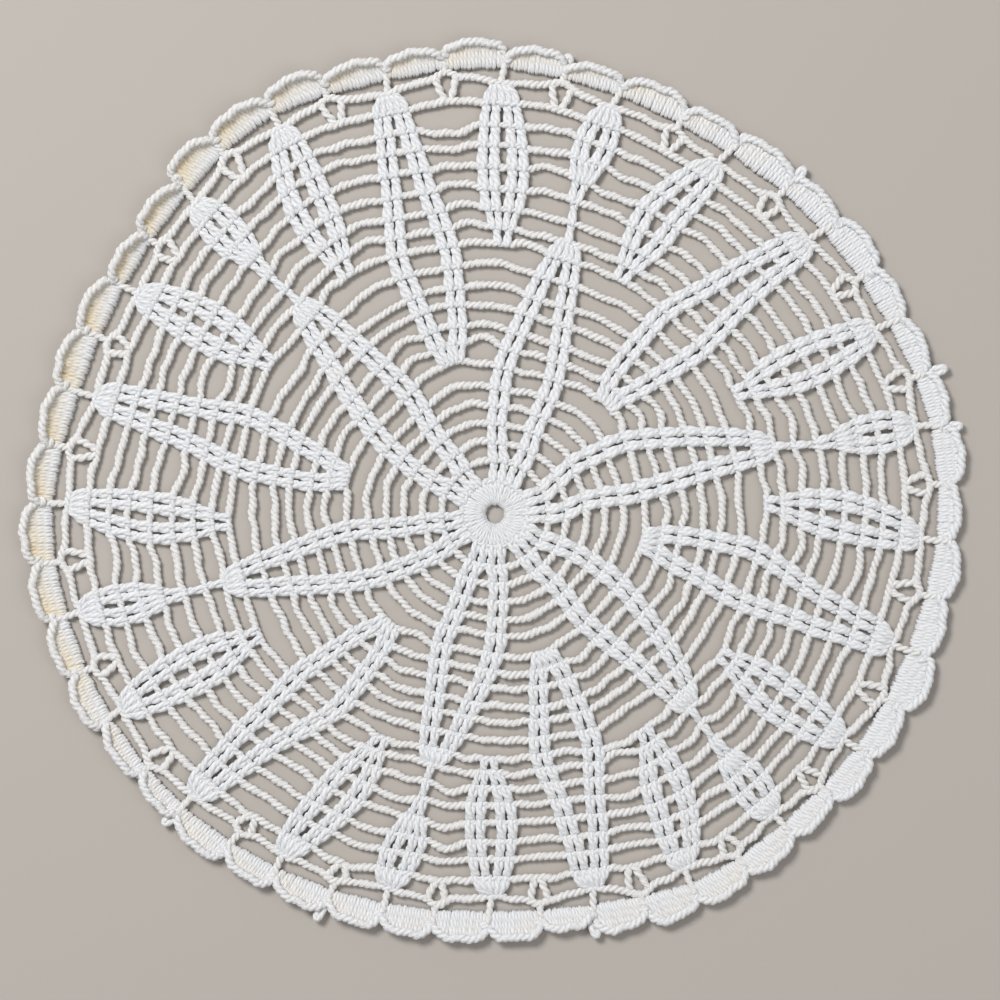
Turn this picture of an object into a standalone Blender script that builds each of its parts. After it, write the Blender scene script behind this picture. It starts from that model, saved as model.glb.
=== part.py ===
"""A round crocheted lace doily, lying flat, about 300 mm across.

It is worked from the middle outwards in one thread, so it is a single sheet. Rings of chain stitch
carry columns of posts, which part and join again as pointed leaves, and 48 small scallops edge it.
Lines are numbered from the middle: line 0 is the edge of the centre hole, line 1 the edge of the
closed disc, lines 2 to 21 are the tops of the rounds that follow, line 22 is the foot of the
scallops and line 23 their rim. Directions are in degrees clockwise from +Y, seen from above.
Lengths in the tables are in millimetres.
"""

import math

import bpy
from mathutils import Vector
from mathutils.geometry import delaunay_2d_cdt

MM = 0.001

SHEET_THICKNESS = 1.8  # chain rings and the edges of the columns
COLUMN_HEIGHT = 2.6  # ridge along each column of posts
TIP_HEIGHT = 3.0  # clustered stitches that close each leaf
DISC_HEIGHT = 2.8
RIM_THICKNESS = 2.2
CHAIN_WIDTH = 2.6
POST_HALF_WIDTH = 1.6  # posts that tie the scallops to the last ring
FORK_HALF_WIDTH = 3.2  # two posts meeting in a point between neighbouring leaves
MOST_OPENINGS = 300
FOOT_LINE, RIM_LINE, LAST_RING = 22, 23, 21

# Mean distance of lines 0 to 23 from the middle.
LINE_RADIUS = (
    3.2, 10.6, 17.4, 23.2, 29.4, 35.2, 41.0, 48.1, 53.9, 59.4, 66.1, 71.6,
    78.7, 85.8, 91.0, 96.8, 103.2, 110.0, 116.8, 122.9, 129.7, 135.8, 141.0, 149.4,
)

# How unevenly the sheet has been pulled out: the distance from the middle, every 15 degrees from 0,
# of the lines named here. The last column is how far the scallops curl up there.
PULLED_LINES = (7, 10, 13, 17, 21, 23)
PULLED_STEP = 15
PULLED = (
    # line 7, line 10, line 13, line 17, line 21, line 23, curl
    (47.7, 66.8, 87.1, 111.9, 139.0, 152.3, 3.5),
    (46.8, 64.5, 85.2, 111.0, 136.5, 149.0, 3.0),
    (48.1, 66.1, 85.5, 109.7, 133.9, 147.1, 2.5),
    (50.3, 67.4, 85.2, 109.7, 133.9, 148.4, 2.0),
    (48.1, 67.4, 86.5, 110.7, 135.2, 148.7, 2.0),
    (47.4, 66.5, 86.5, 113.6, 137.8, 151.3, 2.0),
    (48.7, 67.1, 87.4, 112.6, 137.8, 151.9, 2.0),
    (48.1, 66.8, 84.5, 108.7, 135.2, 149.4, 2.0),
    (46.1, 65.5, 85.8, 109.0, 133.9, 147.8, 2.5),
    (45.5, 64.2, 83.2, 108.7, 132.3, 144.2, 2.5),
    (46.8, 65.2, 84.5, 107.4, 130.0, 143.9, 2.5),
    (47.1, 64.2, 79.7, 101.3, 124.8, 139.0, 2.5),
    (45.5, 62.3, 79.0, 99.4, 123.2, 136.8, 3.0),
    (44.8, 61.0, 78.4, 101.3, 125.2, 138.7, 3.0),
    (47.1, 63.2, 81.3, 103.2, 128.7, 141.6, 3.0),
    (48.7, 65.8, 81.9, 105.5, 132.6, 145.2, 3.0),
    (47.7, 65.5, 85.2, 109.0, 135.5, 147.1, 3.5),
    (47.1, 64.2, 84.2, 110.7, 137.1, 149.4, 4.0),
    (48.1, 66.5, 85.8, 111.3, 137.8, 151.3, 4.5),
    (49.0, 66.8, 84.2, 108.4, 134.2, 149.4, 4.5),
    (47.7, 66.8, 86.8, 110.3, 134.8, 149.0, 4.5),
    (46.8, 66.8, 86.5, 113.2, 138.7, 150.7, 4.5),
    (48.4, 68.1, 90.3, 117.1, 142.3, 155.2, 4.5),
    (50.6, 69.0, 88.1, 113.6, 139.7, 152.3, 4.0),
)

# Columns of posts by kind: half the width over all, and half the opening up the middle, where the
# column has parted in two.
COLUMN_SHAPE = {
    # line, half width, half opening
    "inner": (
        (1.0, 5.2, 0.0), (2.0, 6.8, 0.0), (2.5, 8.1, 1.3), (3.5, 8.9, 2.6), (4.5, 9.8, 3.7),
        (5.5, 10.6, 4.5), (6.5, 11.8, 5.6), (7.5, 11.6, 5.5), (8.5, 11.0, 4.8), (9.5, 10.0, 3.9),
        (10.5, 9.0, 2.8), (11.5, 8.1, 1.9), (12.5, 6.9, 0.8), (13.0, 6.5, 0.0), (13.4, 5.2, 0.0),
        (14.0, 1.9, 0.0), (16.0, 1.6, 0.0), (17.0, 3.5, 0.0), (18.0, 6.5, 0.0), (18.5, 6.9, 1.3),
        (19.5, 7.0, 1.4), (20.0, 6.5, 0.0), (20.4, 5.2, 0.0), (21.0, 1.9, 0.0),
    ),
    "long": (
        (7.0, 4.0, 0.0), (8.0, 6.5, 0.0), (8.5, 7.1, 1.0), (9.5, 8.5, 2.4), (10.5, 9.6, 3.5),
        (11.5, 10.7, 4.6), (12.5, 11.9, 5.7), (13.5, 11.6, 5.5), (14.5, 10.8, 4.7),
        (15.5, 9.6, 3.5), (16.5, 8.6, 2.5), (17.5, 8.1, 1.9), (18.5, 7.1, 1.0), (19.5, 6.6, 0.5),
        (20.0, 6.5, 0.0), (20.4, 5.2, 0.0), (21.0, 1.9, 0.0),
    ),
    "middle": (
        (13.0, 2.9, 0.0), (14.0, 4.0, 0.0), (14.5, 5.2, 0.4), (15.5, 7.5, 1.4), (16.5, 8.5, 2.3),
        (17.5, 8.5, 2.4), (18.5, 7.9, 1.8), (19.5, 7.0, 0.9), (20.0, 6.5, 0.0), (20.4, 5.2, 0.0),
        (21.0, 1.9, 0.0),
    ),
}

# Where each column runs: its direction on the lines that its kind names.
COLUMN_LINES = {
    "inner": (2, 4, 7, 11, 14, 16, 21),
    "long": (7, 8, 13.5, 17, 21),
    "middle": (13, 17, 21),
}
COLUMNS = (
    ("middle", 1.5, 1.4, 0.7),
    ("inner", 16.0, 13.0, 13.5, 14.4, 15.2, 14.2, 15.8),
    ("middle", 28.2, 29.1, 32.3),
    ("long", 45.0, 44.2, 45.8, 47.0, 48.8),
    ("middle", 63.5, 64.1, 64.1),
    ("inner", 78.0, 69.5, 71.0, 74.0, 76.5, 77.7, 78.2),
    ("middle", 87.8, 90.4, 93.2),
    ("long", 100.0, 100.2, 104.3, 106.8, 108.2),
    ("middle", 121.7, 122.9, 123.0),
    ("inner", 131.0, 127.5, 129.8, 132.0, 134.8, 136.0, 137.2),
    ("middle", 145.2, 148.4, 151.8),
    ("long", 160.5, 161.0, 163.5, 164.1, 165.3),
    ("middle", 181.5, 180.7, 180.5),
    ("inner", 190.0, 190.0, 191.4, 193.0, 194.2, 194.5, 196.0),
    ("middle", 206.8, 209.0, 212.0),
    ("long", 223.7, 224.0, 225.0, 226.8, 227.0),
    ("middle", 243.1, 242.8, 242.4),
    ("inner", 248.5, 250.0, 253.5, 255.0, 255.8, 255.7, 256.8),
    ("middle", 268.1, 269.4, 271.4),
    ("long", 283.8, 284.0, 286.2, 286.5, 286.4),
    ("middle", 303.7, 303.1, 301.8),
    ("inner", 310.0, 310.5, 314.5, 316.5, 317.1, 316.6, 316.0),
    ("middle", 328.3, 329.0, 331.0),
    ("long", 344.0, 344.4, 344.8, 345.2, 345.6),
)

# Scallops: the direction of the post that ties each one's near end, and its crest's distance from
# the middle. Posts come in turn from a leaf's tip and from the fork between two leaves.
SCALLOPS = (
    (1.3, 151.0), (8.9, 148.4), (16.6, 148.4), (25.3, 147.1), (33.3, 148.4), (41.6, 148.4),
    (49.5, 150.0), (57.0, 149.0), (64.4, 149.4), (71.8, 150.7), (79.0, 152.6), (86.0, 150.3),
    (93.4, 151.0), (100.6, 149.7), (108.3, 151.0), (115.4, 148.1), (122.8, 147.1), (130.0, 144.5),
    (137.3, 144.8), (144.8, 144.5), (152.2, 143.6), (159.0, 140.7), (166.2, 136.5), (173.4, 137.8),
    (181.0, 138.4), (188.7, 139.0), (195.8, 140.0), (203.5, 141.3), (211.2, 142.6), (218.7, 145.2),
    (226.6, 144.8), (233.8, 146.1), (241.7, 149.0), (249.0, 149.7), (256.5, 151.6), (263.8, 152.9),
    (271.3, 151.0), (278.8, 149.7), (286.4, 149.7), (294.0, 149.4), (301.3, 148.1), (308.7, 150.3),
    (316.2, 154.8), (323.0, 155.5), (331.0, 155.8), (338.2, 152.9), (346.0, 151.9), (353.5, 153.2),
)
NOTCH_DEPTH = 2.8
CREST_STEPS = 6
CURL_AT_POST = 0.25  # share of a scallop's curl that its ends reach
CURL_HALFWAY = 0.3

# Rings of openings, from one line to the next that carries a chain, and the columns between which
# they lie. Every second chain is left out where the rungs are closely spaced.
WEB_OPENINGS = (
    ((1.7, 3), (3, 5), (5, 7), ("inner",)),
    ((7, 9), (9, 11), (11, 13), ("inner", "long")),
    ((13, 15), (15, 17), (17, 19), (19, 20), ("inner", "long", "middle")),
)
LEAF_OPENINGS = {
    "inner": ((3, 5), (5, 7), (7, 9), (9, 11)),
    "long": ((9, 11), (11, 13), (13, 15), (15, 17)),
    "middle": ((16, 18),),
}
WIDEST_STEP = 12.0  # degrees of arc between two points of an opening's side

COTTON = (0.86, 0.85, 0.81, 1.0)


def between(points, place):
    """The value at a place on a run of (place, value) points, straight from one to the next."""
    for (start, low), (end, high) in zip(points, points[1:]):
        if place <= end:
            return low + (high - low) * max(place - start, 0.0) / (end - start)
    return points[-1][1]


def pulled(column, degrees):
    """A column of the PULLED table in any direction."""
    whole, part = divmod(degrees / PULLED_STEP, 1.0)
    first = PULLED[int(whole) % len(PULLED)][column]
    second = PULLED[(int(whole) + 1) % len(PULLED)][column]
    return first + (second - first) * part


def radius(line, degrees):
    """How far a line of stitches is from the middle in one direction."""
    mean = list(enumerate(LINE_RADIUS))
    pulls = [(0.0, 1.0), (1.0, 1.0)]
    pulls += [(n, pulled(i, degrees) / LINE_RADIUS[n]) for i, n in enumerate(PULLED_LINES)]
    return between(mean, line) * between(pulls, line)


def direction(column, line):
    """Where the middle of a column of posts is on a line, in degrees."""
    kind, *degrees = column
    return between(list(zip(COLUMN_LINES[kind], degrees)), line)


def edge(column, line, side, of_opening=False):
    """The direction of a column's outer edge, or of the edge of its opening, on a line."""
    kind = column[0]
    shape = [(row[0], row[2 if of_opening else 1]) for row in COLUMN_SHAPE[kind]]
    middle = direction(column, line)
    return middle + side * math.degrees(between(shape, line) / radius(line, middle))


def place(distance, degrees):
    """A point of the sheet from its distance and direction."""
    angle = math.radians(degrees)
    return Vector((distance * math.sin(angle), distance * math.cos(angle)))


def opening(start, end, left, right, margins=(CHAIN_WIDTH / 2, CHAIN_WIDTH / 2)):
    """An opening's outline between two lines; left and right give its sides' directions.

    The sides of an opening two rounds high bend on the line between them.
    """
    bends = [(start + end) / 2] if end - start > 1 else []
    points = [(line, 0.0, left(line)) for line in bends]
    points += across(end, -margins[1], left(end), right(end))
    points += [(line, 0.0, right(line)) for line in bends]
    points += across(start, margins[0], right(start), left(start))
    return [place(radius(line, degrees) + margin, degrees) for line, margin, degrees in points]


def across(line, margin, start, end):
    """Points along a line of stitches from one direction to another, both ends with them."""
    steps = max(1, math.ceil(abs(end - start) / WIDEST_STEP))
    return [(line, margin, start + (end - start) * i / steps) for i in range(steps + 1)]


def neighbours(kinds):
    """Pairs of columns of these kinds that lie next to each other, clockwise."""
    row = [column for column in COLUMNS if column[0] in kinds]
    return list(zip(row, row[1:] + row[:1]))


def turned(first, second):
    """The second direction, written so that it is clockwise of the first."""
    return second + 360.0 if second < first else second


def web_openings():
    """Openings between the columns, round by round."""
    for *rings, kinds in WEB_OPENINGS:
        for start, end in rings:
            for one, other in neighbours(kinds):
                yield opening(
                    start,
                    end,
                    lambda line: edge(one, line, 1),
                    lambda line: turned(edge(one, line, 1), edge(other, line, -1)),
                )


def leaf_openings():
    """Openings up the middle of each leaf."""
    for column in COLUMNS:
        for start, end in LEAF_OPENINGS[column[0]]:
            yield opening(
                start,
                end,
                lambda line: edge(column, line, -1, of_opening=True),
                lambda line: edge(column, line, 1, of_opening=True),
            )


def fork_side(degrees, line, side):
    """The side of a fork, which widens from the ring below to the last ring."""
    half_width = between([(LAST_RING - 1, POST_HALF_WIDTH), (LAST_RING, FORK_HALF_WIDTH)], line)
    return degrees + side * math.degrees(half_width / radius(line, degrees))


def tip_openings():
    """Openings on both sides of each leaf's tip, out to the fork next to it."""
    for i, column in enumerate(COLUMNS):
        before = SCALLOPS[2 * i - 1][0]
        after = SCALLOPS[2 * i + 1][0]
        yield opening(
            LAST_RING - 1,
            LAST_RING,
            lambda line: fork_side(before, line, 1),
            lambda line: turned(fork_side(before, line, 1), edge(column, line, -1)),
        )
        yield opening(
            LAST_RING - 1,
            LAST_RING,
            lambda line: edge(column, line, 1),
            lambda line: fork_side(after, line, -1),
        )


def foot_openings():
    """Openings under the scallops, between the posts that tie them."""
    for i, (before, _) in enumerate(SCALLOPS):
        after = turned(before, SCALLOPS[(i + 1) % len(SCALLOPS)][0])

        def post(degrees, line, side):
            return degrees + side * math.degrees(POST_HALF_WIDTH / radius(line, degrees))

        yield opening(
            LAST_RING,
            FOOT_LINE,
            lambda line: post(before, line, 1),
            lambda line: post(after, line, -1),
            margins=(CHAIN_WIDTH / 2, 0.0),
        )


def area(outline):
    """The area inside an outline."""
    pairs = zip(outline, outline[1:] + outline[:1])
    return abs(sum(a.x * b.y - b.x * a.y for a, b in pairs)) / 2


def centre_hole():
    """The round hole in the middle."""
    return [place(LINE_RADIUS[0], degrees) for degrees in range(0, 360, 30)]


def openings():
    """Every opening that is cut, the centre hole first and then the largest."""
    cut = [*web_openings(), *leaf_openings(), *tip_openings(), *foot_openings()]
    cut.sort(key=area, reverse=True)
    return [centre_hole()] + cut[: MOST_OPENINGS - 1]


def rim():
    """The scalloped outline, and how high each of its points curls."""
    points, heights = [], []
    for i, (start, crest) in enumerate(SCALLOPS):
        end = turned(start, SCALLOPS[(i + 1) % len(SCALLOPS)][0])
        for step in range(CREST_STEPS):
            along = step / CREST_STEPS
            swell = math.sqrt(1 - abs(2 * along - 1) ** 2.5)
            degrees = start + (end - start) * along
            curl = pulled(-1, degrees)
            points.append(place(crest - NOTCH_DEPTH * (1 - swell), degrees))
            heights.append(curl * (CURL_AT_POST + (1 - CURL_AT_POST) * swell))
    return points, heights


def scallop_middles():
    """Points halfway up each scallop, where its curl begins."""
    for i, (start, crest) in enumerate(SCALLOPS):
        middle = (start + turned(start, SCALLOPS[(i + 1) % len(SCALLOPS)][0])) / 2
        foot = radius(FOOT_LINE, middle)
        yield place((foot + crest) / 2, middle), CURL_HALFWAY * pulled(-1, middle)


def ridges():
    """Points along the crests of the columns, with their heights."""
    for column in COLUMNS:
        shape = COLUMN_SHAPE[column[0]]
        for line in range(math.ceil(shape[0][0]) + 1, LAST_RING):
            half_width = between([(row[0], row[1]) for row in shape], line)
            half_opening = between([(row[0], row[2]) for row in shape], line)
            middle = direction(column, line)
            distance = radius(line, middle)
            if half_width < CHAIN_WIDTH:
                continue
            if half_opening == 0.0:
                yield place(distance, middle), TIP_HEIGHT
            elif line % 2:
                out = math.degrees((half_width + half_opening) / 2 / distance)
                yield place(distance, middle - out), COLUMN_HEIGHT
                yield place(distance, middle + out), COLUMN_HEIGHT


def disc_top():
    """Points round the closed disc, midway between its hole and its edge."""
    distance = (LINE_RADIUS[0] + LINE_RADIUS[1]) / 2
    for degrees in range(15, 375, 30):
        yield place(distance, degrees), DISC_HEIGHT


def triangles(loops, inner):
    """Triangles over the sheet, given its outline, its holes' outlines and the points inside it.

    The outlines run clockwise, and are given the other way round, as the triangles are.
    """
    points, outlines = [], []
    for loop in loops:
        last = len(points) + len(loop) - 1
        outlines.append(list(range(last, len(points) - 1, -1)))
        points += loop
    inside_with_holes = 2
    found = delaunay_2d_cdt(points + inner, [], outlines, inside_with_holes, 1e-6)
    faces, sources = found[2], found[3]
    return [[sources[corner][0] for corner in face] for face in faces]


def sheet_mesh():
    """The whole sheet as one closed body, standing on a flat underside."""
    outline, curl = rim()
    low = Vector(min(p[axis] for p in outline) for axis in (0, 1))
    high = Vector(max(p[axis] for p in outline) for axis in (0, 1))
    origin = (low + high) / 2
    holes = openings()
    loops = [outline] + holes
    border = sum(len(loop) for loop in loops)
    middles = list(scallop_middles())
    crests = list(ridges()) + list(disc_top())

    under = curl + [0.0] * (border - len(curl)) + [height for _, height in middles]
    over = [height + RIM_THICKNESS for height in curl]
    over += [SHEET_THICKNESS] * (border - len(curl))
    over += [height + RIM_THICKNESS for _, height in middles]
    over += [height for _, height in crests]

    vertices, faces = [], []
    top_points = [point for point, _ in middles + crests]
    bottom_points = [point for point, _ in middles]
    for inner, heights, upward in ((top_points, over, True), (bottom_points, under, False)):
        first = len(vertices)
        points = sum(loops, []) + inner
        for point, height in zip(points, heights):
            flat = (point - origin) * MM
            vertices.append((flat.x, flat.y, height * MM))
        for triangle in triangles(loops, inner):
            corners = [first + i for i in triangle]
            faces.append(corners if upward else corners[::-1])
    under_first = len(top_points) + border
    start = 0
    for loop in loops:
        ring = list(range(start, start + len(loop)))
        start += len(loop)
        if loop is outline:
            ring.reverse()
        for one, other in zip(ring, ring[1:] + ring[:1]):
            faces.append([one, under_first + one, under_first + other, other])
    mesh = bpy.data.meshes.new("doily")
    mesh.from_pydata(vertices, [], faces)
    mesh.update()
    return mesh


def cotton():
    """Matt white crochet cotton."""
    material = bpy.data.materials.new("cotton")
    material.use_nodes = True
    shader = material.node_tree.nodes["Principled BSDF"]
    shader.inputs["Base Color"].default_value = COTTON
    shader.inputs["Roughness"].default_value = 0.9
    shader.inputs["Metallic"].default_value = 0.0
    return material


def main():
    for thing in list(bpy.data.objects):
        bpy.data.objects.remove(thing)
    doily = bpy.data.objects.new("doily", sheet_mesh())
    doily.data.materials.append(cotton())
    bpy.context.scene.collection.objects.link(doily)


main()
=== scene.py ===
"""A round crocheted lace doily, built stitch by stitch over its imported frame.

Lines of stitches are numbered from the middle: line 0 is the edge of the centre hole, line 1 the
edge of the closed disc, lines 2 to 21 the tops of the rounds that follow, line 22 the foot of the
scallops and line 23 their rim. Directions are in degrees clockwise from +Y, seen from above.
Lengths are in millimetres until a mesh is made.
"""

import functools
import math

import bpy
import numpy as np
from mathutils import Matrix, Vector


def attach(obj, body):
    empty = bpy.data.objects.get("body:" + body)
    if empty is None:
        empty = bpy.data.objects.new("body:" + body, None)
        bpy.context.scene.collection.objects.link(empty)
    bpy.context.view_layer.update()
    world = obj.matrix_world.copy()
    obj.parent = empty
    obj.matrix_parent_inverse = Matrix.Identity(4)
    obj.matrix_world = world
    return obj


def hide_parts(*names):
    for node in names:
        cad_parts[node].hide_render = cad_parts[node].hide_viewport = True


bl_info = {
    "name": "Lace doily",
    "version": (1, 0, 0),
    "blender": (4, 5, 0),
    "location": "View3D > Sidebar > Doily",
    "description": "Builds a round crocheted doily, stitch by stitch",
    "category": "Object",
}

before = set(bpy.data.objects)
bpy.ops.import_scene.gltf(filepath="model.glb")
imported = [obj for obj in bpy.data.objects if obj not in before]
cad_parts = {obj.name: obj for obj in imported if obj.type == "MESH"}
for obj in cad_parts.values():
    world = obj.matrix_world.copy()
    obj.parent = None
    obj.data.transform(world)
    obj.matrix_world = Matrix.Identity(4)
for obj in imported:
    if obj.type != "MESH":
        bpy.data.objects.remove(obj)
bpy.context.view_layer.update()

MM = 0.001
UP = np.array((0.0, 0.0, 1.0))
NODE = "doily"
BODY = "root"
RING_CENTRE = (0.6, -7.5)  # where the rounds are centred in the part's frame
LAST_RING, FOOT_LINE = 21, 22

# Mean distance of lines 0 to 23 from the middle.
LINE_RADIUS = (
    3.2, 10.6, 17.4, 23.2, 29.4, 35.2, 41.0, 48.1, 53.9, 59.4, 66.1, 71.6,
    78.7, 85.8, 91.0, 96.8, 103.2, 110.0, 116.8, 122.9, 129.7, 135.8, 141.0, 149.4,
)

# How unevenly the sheet has been pulled out: the distance from the middle, every 15 degrees from 0,
# of the lines named here. The last column is how far the scallops curl up there.
PULLED_LINES = (7, 10, 13, 17, 21, 23)
PULLED = (
    # line 7, line 10, line 13, line 17, line 21, line 23, curl
    (47.7, 66.8, 87.1, 111.9, 139.0, 152.3, 3.5),
    (46.8, 64.5, 85.2, 111.0, 136.5, 149.0, 3.0),
    (48.1, 66.1, 85.5, 109.7, 133.9, 147.1, 2.5),
    (50.3, 67.4, 85.2, 109.7, 133.9, 148.4, 2.0),
    (48.1, 67.4, 86.5, 110.7, 135.2, 148.7, 2.0),
    (47.4, 66.5, 86.5, 113.6, 137.8, 151.3, 2.0),
    (48.7, 67.1, 87.4, 112.6, 137.8, 151.9, 2.0),
    (48.1, 66.8, 84.5, 108.7, 135.2, 149.4, 2.0),
    (46.1, 65.5, 85.8, 109.0, 133.9, 147.8, 2.5),
    (45.5, 64.2, 83.2, 108.7, 132.3, 144.2, 2.5),
    (46.8, 65.2, 84.5, 107.4, 130.0, 143.9, 2.5),
    (47.1, 64.2, 79.7, 101.3, 124.8, 139.0, 2.5),
    (45.5, 62.3, 79.0, 99.4, 123.2, 136.8, 3.0),
    (44.8, 61.0, 78.4, 101.3, 125.2, 138.7, 3.0),
    (47.1, 63.2, 81.3, 103.2, 128.7, 141.6, 3.0),
    (48.7, 65.8, 81.9, 105.5, 132.6, 145.2, 3.0),
    (47.7, 65.5, 85.2, 109.0, 135.5, 147.1, 3.5),
    (47.1, 64.2, 84.2, 110.7, 137.1, 149.4, 4.0),
    (48.1, 66.5, 85.8, 111.3, 137.8, 151.3, 4.5),
    (49.0, 66.8, 84.2, 108.4, 134.2, 149.4, 4.5),
    (47.7, 66.8, 86.8, 110.3, 134.8, 149.0, 4.5),
    (46.8, 66.8, 86.5, 113.2, 138.7, 150.7, 4.5),
    (48.4, 68.1, 90.3, 117.1, 142.3, 155.2, 4.5),
    (50.6, 69.0, 88.1, 113.6, 139.7, 152.3, 4.0),
)

# Columns of posts by kind: half the width over all, and half the opening up the middle, where the
# column has parted in two.
COLUMN_SHAPE = {
    # line, half width, half opening
    "inner": (
        (1.0, 5.2, 0.0), (2.0, 6.8, 0.0), (2.5, 8.1, 1.2), (3.5, 8.9, 2.4), (4.5, 9.8, 3.2),
        (5.5, 10.6, 3.9), (6.5, 11.8, 4.9), (7.5, 11.6, 4.8), (8.5, 11.0, 4.1), (9.5, 10.0, 3.3),
        (10.5, 9.0, 2.3), (11.5, 8.1, 1.5), (12.5, 6.9, 0.5), (13.0, 5.6, 0.0), (13.4, 5.2, 0.0),
        (13.7, 4.2, 0.0), (13.9, 3.0, 0.0), (14.0, 2.0, 0.0), (16.0, 1.5, 0.0), (17.0, 3.5, 0.0),
        (18.0, 6.5, 0.0), (18.5, 6.9, 0.7), (19.5, 7.0, 0.8), (20.0, 6.0, 0.0), (20.35, 5.6, 0.0),
        (20.6, 4.7, 0.0), (20.8, 3.4, 0.0), (21.0, 1.9, 0.0),
    ),
    "long": (
        (7.0, 3.4, 0.0), (8.0, 6.3, 0.0), (8.5, 7.1, 0.9), (9.5, 8.5, 2.2), (10.5, 9.6, 3.1),
        (11.5, 10.7, 4.0), (12.5, 11.9, 5.0), (13.5, 11.6, 4.8), (14.5, 10.8, 4.1),
        (15.5, 9.6, 3.0), (16.5, 8.6, 2.1), (17.5, 8.1, 1.5), (18.5, 7.1, 0.6), (19.5, 6.6, 0.2),
        (20.0, 6.0, 0.0), (20.35, 5.6, 0.0), (20.6, 4.7, 0.0), (20.8, 3.4, 0.0), (21.0, 1.9, 0.0),
    ),
    "middle": (
        (13.0, 2.9, 0.0), (14.0, 4.0, 0.0), (14.5, 5.2, 0.2), (15.5, 7.5, 0.9), (16.5, 8.5, 1.6),
        (17.5, 8.5, 1.7), (18.5, 7.9, 1.2), (19.5, 7.0, 0.5), (20.0, 6.0, 0.0), (20.35, 5.6, 0.0),
        (20.6, 4.7, 0.0), (20.8, 3.4, 0.0), (21.0, 1.9, 0.0),
    ),
}

# How much of their openings the posts leave: up to OUTER_PART, beyond it, and beyond it in the
# columns that are drawn tighter there, by their last direction.
OUTER_PART = 14.0
OPEN_INSIDE, OPEN_OUTSIDE = 0.93, 0.87
OPEN_TIGHTER = {
    0.7: 0.5, 78.2: 0.6, 93.2: 0.6, 242.4: 0.6, 256.8: 0.6, 271.4: 0.6, 301.8: 0.6, 316.0: 0.3,
    331.0: 0.75,
}

# Where each column runs: its direction on the lines that its kind names.
COLUMN_LINES = {
    "inner": (2, 4, 7, 11, 14, 16, 21),
    "long": (7, 8, 13.5, 17, 21),
    "middle": (13, 17, 21),
}
COLUMNS = (
    ("middle", 1.5, 1.4, 0.7),
    ("inner", 16.0, 13.0, 13.5, 14.4, 15.2, 14.2, 15.8),
    ("middle", 28.2, 29.1, 32.3),
    ("long", 45.0, 44.2, 45.8, 47.0, 48.8),
    ("middle", 63.5, 64.1, 64.1),
    ("inner", 78.0, 69.5, 71.0, 74.0, 76.5, 77.7, 78.2),
    ("middle", 87.8, 90.4, 93.2),
    ("long", 100.0, 100.2, 104.3, 106.8, 108.2),
    ("middle", 121.7, 122.9, 123.0),
    ("inner", 131.0, 127.5, 129.8, 132.0, 134.8, 136.0, 137.2),
    ("middle", 145.2, 148.4, 151.8),
    ("long", 160.5, 161.0, 163.5, 164.1, 165.3),
    ("middle", 181.5, 180.7, 180.5),
    ("inner", 190.0, 190.0, 191.4, 193.0, 194.2, 194.5, 196.0),
    ("middle", 206.8, 209.0, 212.0),
    ("long", 223.7, 224.0, 225.0, 226.8, 227.0),
    ("middle", 243.1, 242.8, 242.4),
    ("inner", 248.5, 250.0, 253.5, 255.0, 255.8, 255.7, 256.8),
    ("middle", 268.1, 269.4, 271.4),
    ("long", 283.8, 284.0, 286.2, 286.5, 286.4),
    ("middle", 303.7, 303.1, 301.8),
    ("inner", 310.0, 310.5, 314.5, 316.5, 317.1, 316.6, 316.0),
    ("middle", 328.3, 329.0, 331.0),
    ("long", 344.0, 344.4, 344.8, 345.2, 345.6),
)

# How far from the middle each loose chain runs halfway between two columns, where it sags or
# strays from the rest of its line: the direction, then one column for each line.
INNER_WEB_LINES = (7, 8, 9, 10, 11, 12, 13)
INNER_WEBS = (
    # direction, lines 7 to 13
    (33, 49.0, 53.9, 58.7, 65.5, 71.3, 78.4, 85.5),
    (57, 50.6, 56.5, 62.3, 67.7, 73.2, 79.7, 87.1),
    (90, 48.4, 55.5, 61.3, 67.1, 73.2, 78.7, 87.1),
    (113, 47.7, 54.2, 60.3, 66.5, 71.0, 77.4, 84.5),
    (148, 46.1, 53.9, 59.4, 64.8, 69.7, 75.5, 84.5),
    (175, 46.8, 52.3, 56.5, 61.9, 67.1, 72.9, 79.0),
    (210, 46.1, 52.3, 58.1, 63.6, 68.7, 74.2, 80.0),
    (238, 48.7, 54.5, 60.0, 65.5, 70.6, 76.5, 84.8),
    (271, 47.7, 54.8, 60.6, 66.1, 71.0, 78.1, 85.2),
    (300, 48.4, 54.8, 60.6, 66.5, 71.3, 78.1, 86.1),
    (333, 50.0, 56.5, 62.9, 68.7, 73.6, 82.3, 90.3),
    (357, 49.0, 57.1, 61.3, 67.1, 73.9, 80.7, 87.7),
)
OUTER_WEB_LINES = (14, 15, 16, 17, 18, 19, 20, 21)
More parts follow.
